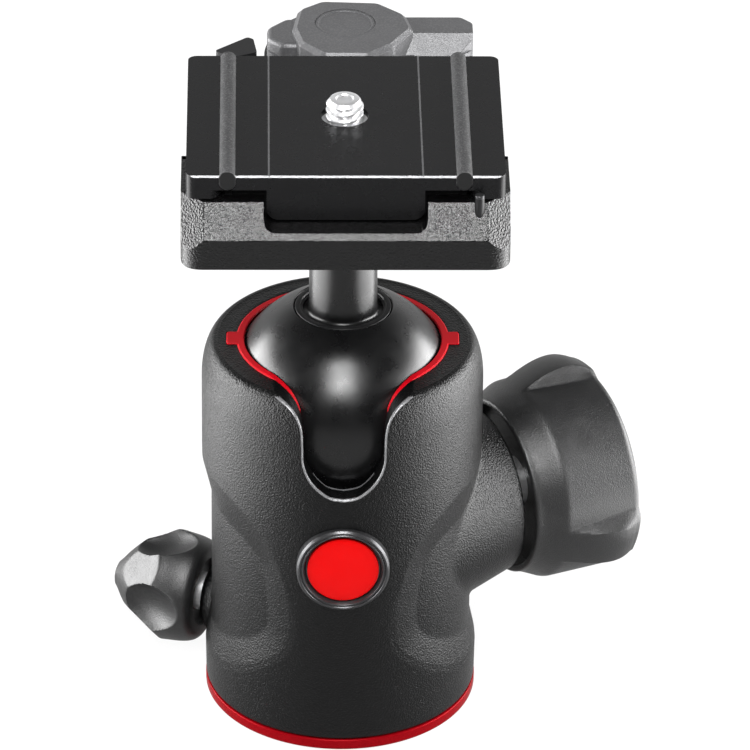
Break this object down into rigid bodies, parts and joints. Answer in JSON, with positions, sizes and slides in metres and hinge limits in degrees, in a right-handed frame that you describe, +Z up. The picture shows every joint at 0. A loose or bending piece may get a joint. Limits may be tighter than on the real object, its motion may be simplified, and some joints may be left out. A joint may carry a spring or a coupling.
{
  "type": "tripod ball head",
  "caption": "Ball head for a camera tripod: notched housing, ball and stem, lobed lock knob, small pan knob, and a lever clamp with quick-release plate.",
  "frame": {"origin": "centre of the underside, at the mouth of the tripod thread", "axes": "+Z up along the pan axis; the drop notch and the badge face -Y"},
  "size_m": [0.0934, 0.0767, 0.1156],
  "materials": {
    "black_coat": "coarse grained powder coat",
    "satin_black": "satin anodised",
    "red_anodised": "satin anodised",
    "red_plastic": "satin",
    "badge_red": "gloss",
    "bright_rim": "turned",
    "knob_black": "fine grained",
    "plate_black": "matt anodised",
    "strip_rubber": "matt",
    "steel": "bright",
    "lever_grey": "fine grained die casting",
    "nylon": "natural",
    "bronze": "sintered",
    "black_plastic": "matt",
    "aluminium": "machined"
  },
  "bodies": {
    "base": {"base_disc": "aluminium", "base_ring": "red_anodised", "pan_spindle": "steel", "thread_insert": "steel", "base_screws": "steel", "spindle_retainer": "steel", "retainer_screw": "steel", "pan_washer": "nylon"},
    "housing": {"housing": "black_coat", "upper_seat": "red_plastic", "bearing_ring": "bronze", "badge_bezel": "bright_rim", "badge_disc": "badge_red", "lock_bush": "bronze", "pan_bush": "bronze"},
    "lock_knob": {"lock_spindle": "steel", "lock_knob": "knob_black", "knob_screw": "steel", "knob_cap": "knob_black"},
    "plunger": {"lock_plunger": "steel"},
    "cup": {"ball_cup": "aluminium"},
    "pan_knob": {"pan_screw": "steel", "pan_knob": "knob_black"},
    "pan_pad": {"pan_pad": "nylon"},
    "turn": {"cup_pad": "nylon"},
    "lean": {"stem_collar": "black_plastic"},
    "head": {"ball": "satin_black", "clamp_body": "black_coat", "clamp_bolt": "steel", "stop_pin": "steel", "lever_pivot": "steel", "lever_spring": "steel", "trip_spring": "steel"},
    "lever": {"lever": "lever_grey", "lever_cap": "lever_grey"},
    "plate": {"plate": "plate_black", "rubber_strips": "strip_rubber", "screw_clip": "steel"},
    "trip_pin": {"trip_pin": "steel"},
    "camera_screw": {"camera_screw": "steel"},
    "safety_catch": {"safety_catch": "black_plastic"}
  },
  "joints": [
    {"name": "pan", "type": "hinge", "parent": "base", "child": "housing", "pos_m": [0, 0, 0], "axis": [0, 0, 1], "continuous": true},
    {"name": "main_lock", "type": "hinge", "parent": "housing", "child": "lock_knob", "pos_m": [0, 0, 0.031], "axis": [0.8988, 0.4384, 0], "range_deg": [0, 360]},
    {"name": "plunger_slide", "type": "slide", "parent": "housing", "child": "plunger", "axis": [0.8988, 0.4384, 0], "range_m": [0, 0.001]},
    {"name": "cup_slide", "type": "slide", "parent": "housing", "child": "cup", "axis": [0, 0, -1], "range_m": [0, 0.0004]},
    {"name": "pan_lock", "type": "hinge", "parent": "housing", "child": "pan_knob", "pos_m": [0, 0, 0.0114], "axis": [-0.9272, 0.3746, 0], "range_deg": [0, 270]},
    {"name": "pan_pad_slide", "type": "slide", "parent": "housing", "child": "pan_pad", "axis": [-0.9272, 0.3746, 0], "range_m": [0, 0.0003]},
    {"name": "ball_turn", "type": "hinge", "parent": "housing", "child": "turn", "pos_m": [0, 0, 0.0567], "axis": [0, 0, 1], "range_deg": [-180, 0]},
    {"name": "ball_lean", "type": "hinge", "parent": "turn", "child": "lean", "pos_m": [0, 0, 0.0567], "axis": [1, 0, 0], "range_deg": [-38, 90]},
    {"name": "ball_spin", "type": "hinge", "parent": "lean", "child": "head", "pos_m": [0, 0, 0.0567], "axis": [0, 0, 1], "continuous": true},
    {"name": "lever_turn", "type": "hinge", "parent": "head", "child": "lever", "pos_m": [0.0005, 0.035, 0.1047], "axis": [0, 0, 1], "range_deg": [0, 95]},
    {"name": "plate_tip", "type": "hinge", "parent": "head", "child": "plate", "pos_m": [0, -0.0195, 0.1031], "axis": [1, 0, 0], "range_deg": [0, 3]},
    {"name": "trip_slide", "type": "slide", "parent": "head", "child": "trip_pin", "axis": [0, 0, 1], "range_m": [0, 0.0012]},
    {"name": "camera_screw_turn", "type": "hinge", "parent": "plate", "child": "camera_screw", "pos_m": [0, 0, 0.1031], "axis": [0, 0, 1], "continuous": true},
    {"name": "catch_turn", "type": "hinge", "parent": "head", "child": "safety_catch", "pos_m": [-0.0182, 0.0278, 0.1047], "axis": [0, 0, 1], "range_deg": [0, 25], "stiffness_Nm_per_rad": 0.01}
  ],
  "couplings": [
    {"joint": "plunger_slide", "follows": "main_lock", "m_per_rad": 0.000159},
    {"joint": "cup_slide", "follows": "main_lock", "m_per_rad": 0.0000636},
    {"joint": "pan_pad_slide", "follows": "pan_lock", "m_per_rad": 0.0000636},
    {"joint": "plate_tip", "follows": "lever_turn", "ratio": 0.03157},
    {"joint": "trip_slide", "follows": "lever_turn", "m_per_rad": 0.000723}
  ]
}
